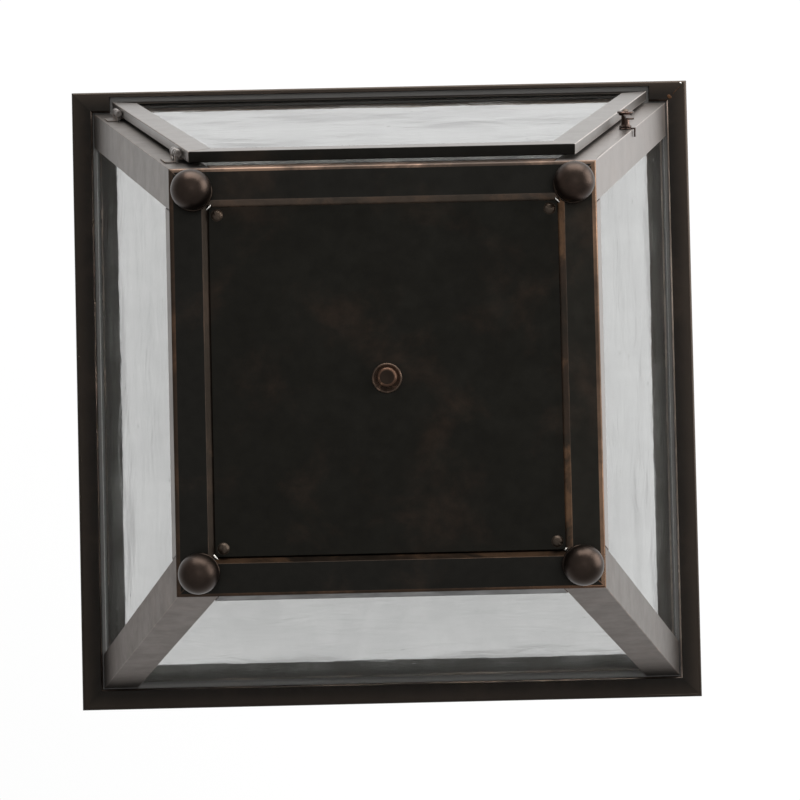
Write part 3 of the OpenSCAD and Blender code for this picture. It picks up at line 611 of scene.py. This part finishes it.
# The right rail takes lit copies, the front's bend and sloped face a lit brown, and the back fold a shaded
# one: painted light and shade.
for side, skin, bend, fold, slope, radius in (
        ("front", m_plate, m_rail_front_lit, m_fold, m_post, 1.6),
        ("right", m_plate_lit_right, m_rail_right_lit, m_fold_lit_right, m_post_lit, 2.0),
        ("back", m_plate, m_rail_edge, m_fold_shaded, m_post, 1.2),
        ("left", m_plate, m_rail_edge, m_fold_left, m_post_half_lit, 1.8)):
    soft_edged("bottom_rail_" + side, "dark_bronze", 0.22, [skin, bend, fold, m_fold_line_worn_and_highlight, slope],
               wide=[(radius, outer_corner)], paint=rail_paint)
soft_edged("bottom_panel", "dark_bronze", 0.12, [m_panel, m_panel])


# ---- Feet and their collars ---------------------------------------------------------------

NECK_R = 3.0
STUD_R = 1.5
BORE_R = 3.1


def ball_foot(name):
    """A ball on a neck that flares a little under its rail, with a plain stud above."""
    low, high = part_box(name)
    radius = (high.x - low.x) / 2 / MM
    middle = low.z / MM + radius
    seat = plate_low.z / MM
    top = high.z / MM
    profile = [(0, middle - radius)]
    profile += arc(0, middle, radius, -88, math.degrees(math.acos(NECK_R / radius)), 44)
    profile += arc(3.6, seat - 0.35, 0.6, 200, 170, 3)
    profile += [(NECK_R, seat), (STUD_R, seat), (STUD_R, top - 0.4), (STUD_R - 0.4, top), (0, top)]
    bm = bmesh.new()
    lathe_into(bm, profile, Matrix.Translation(((low.x + high.x) / 2, (low.y + high.y) / 2, 0)))
    turned(name, "dark_bronze", bm, [m_ball], 50)


def foot_collars():
    """Thin dished collars with a rolled rim, between the feet and the rails."""
    foot = centre("ball_foot_back_right")
    profile = [(BORE_R, 0), (8.9, 0)]
    profile += arc(8.6, -0.75, 0.7, 60, -90)
    profile += [(7.6, -1.25), (6.6, -1.05), (4.6, -0.62), (BORE_R, -0.5), (BORE_R, 0)]
    bm = bmesh.new()
    for sx in (-1, 1):
        for sy in (-1, 1):
            lathe_into(bm, profile, Matrix.Translation((sx * foot.x, sy * foot.y, plate_low.z)))
    collar = plain_metal("collar_bronze", (0.045, 0.033, 0.026), (0.028, 0.021, 0.017), 0.26)
    turned("foot_collars", "rubbed_copper", bm, [collar], 40)


for corner in CORNERS:
    ball_foot("ball_foot_" + corner)
foot_collars()


# ---- Finial, rosette and panel screws -----------------------------------------------------

panel_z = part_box("finial_rosette")[1].z
hub = Matrix.Translation((0, 0, panel_z))
HEAD_R = 2.9
HEAD_H = 1.7
DOME_STEPS = 14


def finial_rosette():
    """A disc with a beaded rim and a low boss around the finial's stud."""
    bore = 2.1
    profile = [(bore, 0), (7.1, 0), (7.2, -0.35)]
    profile += arc(6.35, -1.0, 0.8, 10, -100)
    profile += [(5.5, -1.35), (4.9, -0.95), (4.0, -0.85), (3.3, -1.1), (bore, -1.2), (bore, 0)]
    bm = bmesh.new()
    lathe_into(bm, profile, hub)
    skin = bronze("rosette_bronze", (0.080, 0.056, 0.042), (0.11, 0.074, 0.054), (0.26, 0.17, 0.125),
                  wear=(0.50, 0.72), wear_scale=240, rough=(0.34, 0.44))
    turned("finial_rosette", "rubbed_copper", bm, [skin], 50)


def finial():
    """A turned knob with a dished, darker end, a waist, a small collar and a stud."""
    low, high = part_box("finial")
    end = (low.z - panel_z) / MM
    top = (high.z - panel_z) / MM
    knob_r = (high.x - low.x) / 2 / MM
    round_r = 1.75
    stud_r = 2.0
    profile = [(0, end + 0.25), (1.4, end + 0.2), (2.7, end), (3.1, end)]
    profile += arc(knob_r - round_r, end + round_r, round_r, -80, 20, 10)
    profile += [(knob_r - 0.15, end + 3.6), (knob_r - 0.9, end + 5.4), (3.1, end + 7.0), (2.6, -3.6),
                (2.6, -2.4), (3.0, -1.5), (3.0, -1.15)]
    profile += [(stud_r, -1.15), (stud_r, top - 0.4), (stud_r - 0.5, top), (0, top)]
    bm = bmesh.new()
    lathe_into(bm, profile, hub)
    bmesh.ops.recalc_face_normals(bm, faces=bm.faces)
    for face in bm.faces:
        if face.normal.z < -0.97 and face.calc_center_median().z < low.z + MM:
            face.material_index = 1
    skin = bronze("knob_copper", (0.100, 0.056, 0.037), (0.15, 0.082, 0.052), (0.34, 0.195, 0.125),
                  wear=(0.50, 0.72), wear_scale=260, rough=(0.32, 0.42))
    end_skin = bronze("knob_end", (0.026, 0.0170, 0.0120), (0.042, 0.0270, 0.0190), (0.10, 0.058, 0.038),
                      wear=(0.60, 0.80), wear_scale=300, rough=(0.44, 0.54))
    turned("finial", "rubbed_copper", bm, [skin, end_skin], 50)


def slotted_screw(r, h, slot_w, slot_d, shank_r, shank_h):
    """A screw in whole millimetres: a low dome along -Z with a slot along X, its shank along +Z."""
    ball_r = (r * r + h * h) / (2 * h)
    span = math.asin(min(r / ball_r, 1.0))
    profile = [(0, -h)]
    for k in range(1, DOME_STEPS):
        angle = span * k / DOME_STEPS
        profile.append((ball_r * math.sin(angle), ball_r - h - ball_r * math.cos(angle)))
    profile += [(r - 0.06, -0.22), (r, -0.1), (r - 0.05, 0), (shank_r, 0), (shank_r, shank_h - 0.3),
                (shank_r - 0.3, shank_h), (0, shank_h)]
    bm = bmesh.new()
    lathe_into(bm, profile, Matrix.Scale(1 / MM, 4), 64)
    bmesh.ops.recalc_face_normals(bm, faces=bm.faces)
    screw = made("head", bm, [m_screw])
    bm = bmesh.new()
    bmesh.ops.create_cube(bm, size=1.0)
    for v in bm.verts:
        v.co = Vector((v.co.x * 3 * r, v.co.y * slot_w, v.co.z * 2 - h + slot_d - 1))
    cutter = made("slot", bm, [m_screw], smooth=False)
    cut = screw.modifiers.new("slot", "BOOLEAN")
    cut.object = cutter
    cut.solver = "EXACT"
    settled(screw)
    bpy.data.objects.remove(cutter)
    return screw


def panel_screws():
    """Four round-headed screws, each stopped at its own angle."""
    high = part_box("panel_screws")[1]
    out = high.x - HEAD_R * MM
    pattern = slotted_screw(HEAD_R, HEAD_H, 0.7, 0.7, 1.5, (high.z - panel_z) / MM)
    bm = bmesh.new()
    for (sx, sy), angle in zip(QUARTERS, (62, 20, 48, 75)):
        first = len(bm.verts)
        bm.from_mesh(pattern.data)
        bm.verts.ensure_lookup_table()
        turn = Matrix.Rotation(math.radians(angle), 4, "Z")
        place = Matrix.Translation((sx * out, sy * out, panel_z)) @ turn @ Matrix.Scale(MM, 4)
        for v in bm.verts[first:]:
            v.co = place @ v.co
    bpy.data.objects.remove(pattern)
    bmesh.ops.recalc_face_normals(bm, faces=bm.faces)
    fit(weighted(made("panel_screws_dressed", bm, [m_screw]), 35), "rubbed_copper", "panel_screws")


finial_rosette()
finial()
panel_screws()


# ---- Latch knob and screw shells ----------------------------------------------------------

def span_along(name, at, axis):
    """How far a node reaches along an axis through a point, from and to, in mm."""
    along = [(v.co - at).dot(axis) / MM for v in nodes[name].data.vertices]
    return min(along), max(along)


def latch_knob():
    """The knob is turned about the latch's own axis and holds the arm in its waist."""
    rod_r = 1.08
    base, end = span_along("latch_knob", latch_at, latch_out)
    arm_in, arm_out = span_along("latch_arm", latch_at, latch_out)
    side = Vector((1, 0, 0))
    up = latch_out.cross(side).normalized()
    place = Matrix.Translation(latch_at) @ Matrix((side, up, latch_out)).transposed().to_4x4()
    profile = [(rod_r, base), (2.9, base)]
    profile += arc(2.9, base + 0.4, 0.4, -90, 90, 6)
    profile += [(2.6, base + 1.0), (2.3, base + 1.5), (2.05, base + 2.3), (2.15, arm_in - 0.5), (2.2, arm_in),
                (1.6, arm_in), (1.6, arm_out), (3.2, arm_out)]
    profile += arc(3.8, (arm_out + end) / 2, (end - arm_out) / 2, -90, 60)
    profile += [(3.5, end - 0.02), (2.6, end), (rod_r, end), (rod_r, base)]
    bm = bmesh.new()
    lathe_into(bm, profile, place, 56)
    turned("latch_knob", "dark_bronze", bm, [m_latch], 50)


def screw_shells():
    """The four lampholders' brass shells, with a rolled thread."""
    low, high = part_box("screw_shells")
    bottom, top = low.z / MM, high.z / MM
    turns, steps_per_turn = 5, 8
    thread_r, wall, thread_h = 6.02, 0.2, 0.18
    circle_r = math.hypot(centre("lampholder_1").x, centre("lampholder_1").y)
    inner, outer = [], []
    for i in range(turns * steps_per_turn + 1):
        z = bottom + (top - bottom) * i / (turns * steps_per_turn)
        wave = thread_h * (1 - math.cos(2 * math.pi * i / steps_per_turn)) / 2
        inner.append((thread_r + wave, z))
        outer.append((thread_r + wall + wave, z))
    bm = bmesh.new()
    for k in range(4):
        angle = math.radians(45 + 90 * k)
        place = Matrix.Translation((circle_r * math.cos(angle), circle_r * math.sin(angle), 0))
        lathe_into(bm, inner + outer[::-1] + [inner[0]], place, 40)
    turned("screw_shells", "brass", bm, [m_brass], 60)


latch_knob()
screw_shells()


# ---- Panes --------------------------------------------------------------------------------

# The length and the height of each wave in the glass, in mm
WAVES = ((120, 0.016), (74, 0.012), (52, 0.009), (38, 0.0055), (30, 0.0035), (26, 0.0025))
PANE_COLUMNS = 38
PANE_ROWS = 50


def broad_faces(name, outward):
    """The corners of a pane's outer and inner faces: low left, low right, high right, high left."""
    bm = shape_of(name)
    faces = sorted(bm.faces, key=lambda f: -f.calc_area())[:2]
    faces.sort(key=lambda f: -f.normal.dot(outward))
    across = Vector((-outward.y, outward.x, 0))
    found = []
    for face in faces:
        points = sorted((v.co.copy() for v in face.verts), key=lambda p: p.z)
        low = sorted(points[:2], key=lambda p: p.dot(across))
        high = sorted(points[-2:], key=lambda p: p.dot(across))
        found.append((low[0], low[1], high[1], high[0]))
    normal = faces[0].normal.copy()
    bm.free()
    return found, normal


def rolled(seed):
    """A sheet's height in metres at a point along it: a sum of long soft waves."""
    local = random.Random(seed)
    waves = []
    for length, tall in WAVES:
        a = local.uniform(0, math.pi)
        waves.append((math.cos(a) * 2 * math.pi / length, math.sin(a) * 2 * math.pi / length,
                      local.uniform(0, 6.28), tall))
    return lambda x, y: sum(t * math.sin(kx * x + ky * y + p) for kx, ky, p, t in waves) * MM


def waved_sheet(bm, corners, normal, seed):
    """Rows of points over a pane's face, lifted by its waves, with the faces between them."""
    height = rolled(seed)
    width = (corners[1] - corners[0]).length / MM
    tall = (corners[3] - corners[0]).length / MM
    rows = []
    for j in range(PANE_ROWS + 1):
        v = j / PANE_ROWS
        row = []
        for i in range(PANE_COLUMNS + 1):
            u = i / PANE_COLUMNS
            low = corners[0] * (1 - u) + corners[1] * u
            high = corners[3] * (1 - u) + corners[2] * u
            row.append(bm.verts.new(low * (1 - v) + high * v + normal * height(u * width, v * tall)))
        rows.append(row)
    for a, b in zip(rows, rows[1:]):
        for i in range(PANE_COLUMNS):
            bm.faces.new((a[i], a[i + 1], b[i + 1], b[i]))
    return rows


def outline(rows):
    """The points around a sheet, in order."""
    return rows[0][:-1] + [r[-1] for r in rows[:-1]] + rows[-1][:0:-1] + [r[0] for r in rows[:0:-1]]


def wavy_pane(name, outward, seed, lean, grey):
    """A pane with long soft waves. lean is how far its skin settled out of the flat, in degrees,
    and grey is how bright its ground edge is painted, a painted highlight that differs from pane to pane."""
    (outer, inner), normal = broad_faces(name, outward)
    bm = bmesh.new()
    a = outline(waved_sheet(bm, outer, normal, seed))
    b = outline(waved_sheet(bm, inner, normal, seed + 50))
    for i in range(len(a)):
        j = (i + 1) % len(a)
        bm.faces.new((a[i], a[j], b[j], b[i])).material_index = 1
    bmesh.ops.recalc_face_normals(bm, faces=bm.faces)
    ground = plain_metal(name + "_ground_edge_highlight", scaled((1.0, 1.0, 0.98), grey),
                         scaled((0.8, 0.8, 0.78), grey), 0.6, metal=0.0)
    pane = weighted(made(name + "_dressed", bm, [m_glass, ground]), 40)
    turn = Matrix.Rotation(math.radians(lean), 3, Vector((-outward.y, outward.x, 0)))
    pane.data.normals_split_custom_set([turn @ n.vector for n in pane.data.corner_normals])
    return fit(pane, "seedy_glass", name)


# The last number is the brightness of each pane's edge, a painted highlight, brightest on the left pane.
wavy_pane("glass_right", Vector((1, 0, 0)), 3, 0.85, 0.62)
wavy_pane("glass_back", Vector((0, 1, 0)), 5, 0.50, 0.14)
wavy_pane("glass_left", Vector((-1, 0, 0)), 8, 0.38, 1.0)
wavy_pane("door_glass", Vector((0, -1, 0)), 13, 0.1, 0.10)


# ---- Solder and braze ---------------------------------------------------------------------

def blob(bm, place, size, seed):
    """A small uneven ellipsoid, with its half sizes in mm along the place's axes."""
    ball = bmesh.ops.create_icosphere(bm, subdivisions=3, radius=1.0)
    for v in ball["verts"]:
        d = 1 + 0.16 * noise.noise(v.co * 1.3 + Vector((seed, seed * 2.1, 0)))
        v.co = place @ Vector([along * half * d * MM for along, half in zip(v.co, size)])


def drops(name, mat, spots):
    """Drops left on the lantern. A spot is (x, y, z, degrees about Z, half sizes in mm, seed)."""
    bm = bmesh.new()
    for x, y, z, angle, size, seed in spots:
        turn = Matrix.Rotation(math.radians(angle), 4, "Z")
        blob(bm, Matrix.Translation((x, y, z)) @ turn, size, seed)
    obj = made(name, bm, [mat])
    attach(obj, "lantern")


RECESS_CORNER = 82.0 * MM
drops("recess_solder", m_tin,
      [(sx * RECESS_CORNER, sy * RECESS_CORNER, panel_z - 0.15 * MM,
        math.degrees(math.atan2(sy, sx)) + 90, (length, 0.62, 0.55), k)
       for k, ((sx, sy), length) in enumerate(zip(QUARTERS, (1.75, 1.7, 0.9, 1.7)))])
# The rim's right front corner was brazed, and a drop of solder is left on its outer edge
m_braze = plain_metal("braze", (0.13, 0.066, 0.034), (0.050, 0.028, 0.019), 0.50, 500)
drops("rim_braze", m_braze,
      [(167.6 * MM, -168.4 * MM, hem_z, 45, (1.5, 1.0, 0.22), 7),
       (171.8 * MM, -172.2 * MM, hem_z, -45, (3.4, 0.15, 0.08), 9)])
drops("rim_solder", m_tin,
      [(174.4 * MM, -176.3 * MM, hem_z - 0.1 * MM, 0, (0.65, 0.5, 0.4), 4)])


# ---- Finishes of the nodes that stay as they are -------------------------------------------

kept = {
    m_zinc: ("crossbar", "crossbar_screws", "lamp_plate", "glass_clips", "door_glass_clips", "foot_nuts",
             "finial_nut"),
    m_brass: ("lamp_stem", "stem_nuts", "centre_contacts", "lampholder_nuts"),
    m_phenolic: ("lampholder_1", "lampholder_2", "lampholder_3", "lampholder_4"),
    m_hinge: ("hinge_pins",),
    m_screw: ("latch_pivot_screw",),
    m_turned: ("cap_nuts",),
    m_green: ("ground_screw",),
}
for mat, names in kept.items():
    for name in names:
        nodes[name].data.materials.clear()
        nodes[name].data.materials.append(mat)


# ---- Floor, light and camera --------------------------------------------------------------

FLOOR_Z = -2.4
FLOOR_HALF = 9
# The studio's grey by height, from straight down at 0 to straight up at 1
DOME = ((0.0, 0.13), (0.44, 0.34), (0.54, 0.62), (0.70, 0.80), (0.90, 0.85), (0.968, 0.845), (0.980, 1.0))
# How much brighter the studio is to the right and to the front
DOME_TILT = (0.143, -0.094, 0.0)
DOME_STRENGTH = 1.02
WARM = (1.0, 0.97, 0.94)
AIM = Vector((0, 0, -0.27))
EYE_AT = (-0.00318, 0.03970, -1.34958)
EYE_DEGREES = (-178.43205, 0.44792, 1.27425)
EYE_LENS = 103.50


def pale_floor():
    g = Graph("pale_floor")
    grey = g.mix(g.noise(3, detail=3), (0.42, 0.42, 0.42), (0.46, 0.46, 0.46))
    paint = g.set(Base_Color=grey, Roughness=0.8, Specular_IOR_Level=0.2)
    bm = bmesh.new()
    bmesh.ops.create_grid(bm, x_segments=2, y_segments=2, size=FLOOR_HALF)
    bmesh.ops.translate(bm, verts=bm.verts, vec=(0, 0, FLOOR_Z))
    made("floor", bm, [paint], smooth=False)


def studio():
    """A dome of light, white overhead and dark below."""
    world = bpy.data.worlds.new("studio")
    bpy.context.scene.world = world
    world.use_nodes = True
    tree = world.node_tree
    tree.nodes.clear()
    link = tree.links.new
    direction = tree.nodes.new("ShaderNodeTexCoord").outputs["Generated"]
    split = tree.nodes.new("ShaderNodeSeparateXYZ")
    height = tree.nodes.new("ShaderNodeMapRange")
    height.inputs["From Min"].default_value = -1
    ramp = tree.nodes.new("ShaderNodeValToRGB")
    tilt = tree.nodes.new("ShaderNodeVectorMath")
    tilt.operation = "DOT_PRODUCT"
    tilt.inputs[1].default_value = DOME_TILT
    strength = tree.nodes.new("ShaderNodeMath")
    strength.inputs[1].default_value = DOME_STRENGTH
    sky = tree.nodes.new("ShaderNodeBackground")
    out = tree.nodes.new("ShaderNodeOutputWorld")
    link(direction, split.inputs[0])
    link(split.outputs["Z"], height.inputs["Value"])
    link(height.outputs[0], ramp.inputs[0])
    link(ramp.outputs[0], sky.inputs["Color"])
    link(direction, tilt.inputs[0])
    link(tilt.outputs["Value"], strength.inputs[0])
    link(strength.outputs[0], sky.inputs["Strength"])
    link(sky.outputs[0], out.inputs["Surface"])
    stops = ramp.color_ramp.elements
    stops[0].position = DOME[0][0]
    stops[1].position = DOME[-1][0]
    for position, _ in DOME[1:-1]:
        stops.new(position)
    for stop, (_, grey) in zip(stops, DOME):
        stop.color = (grey, grey, grey, 1)


def softbox(name, at, size, power, tint=(1, 1, 1)):
    """A rectangular light aimed at the lantern."""
    light = bpy.data.lights.new(name, "AREA")
    light.shape = "RECTANGLE"
    light.size, light.size_y = size
    light.energy = power
    light.color = tint
    obj = linked(name, light)
    obj.location = at
    obj.rotation_euler = (AIM - Vector(at)).to_track_quat("-Z", "Y").to_euler()


def eye():
    camera = bpy.data.cameras.new("camera")
    camera.sensor_width = 36
    camera.lens = EYE_LENS
    camera.clip_start = 0.05
    obj = linked("camera", camera)
    obj.location = EYE_AT
    obj.rotation_euler = Euler([math.radians(a) for a in EYE_DEGREES], "XYZ")
    bpy.context.scene.camera = obj


pale_floor()
studio()
softbox("front_softbox", (0.3, -2.1, -0.40), (2.4, 1.6), 66, WARM)
softbox("right_softbox", (2.1, -0.75, -0.35), (2.0, 1.6), 50, WARM)
softbox("low_light", (0.10, -0.12, -1.85), (0.30, 0.30), 0.5)
eye()
bpy.context.scene.view_settings.view_transform = "Standard"
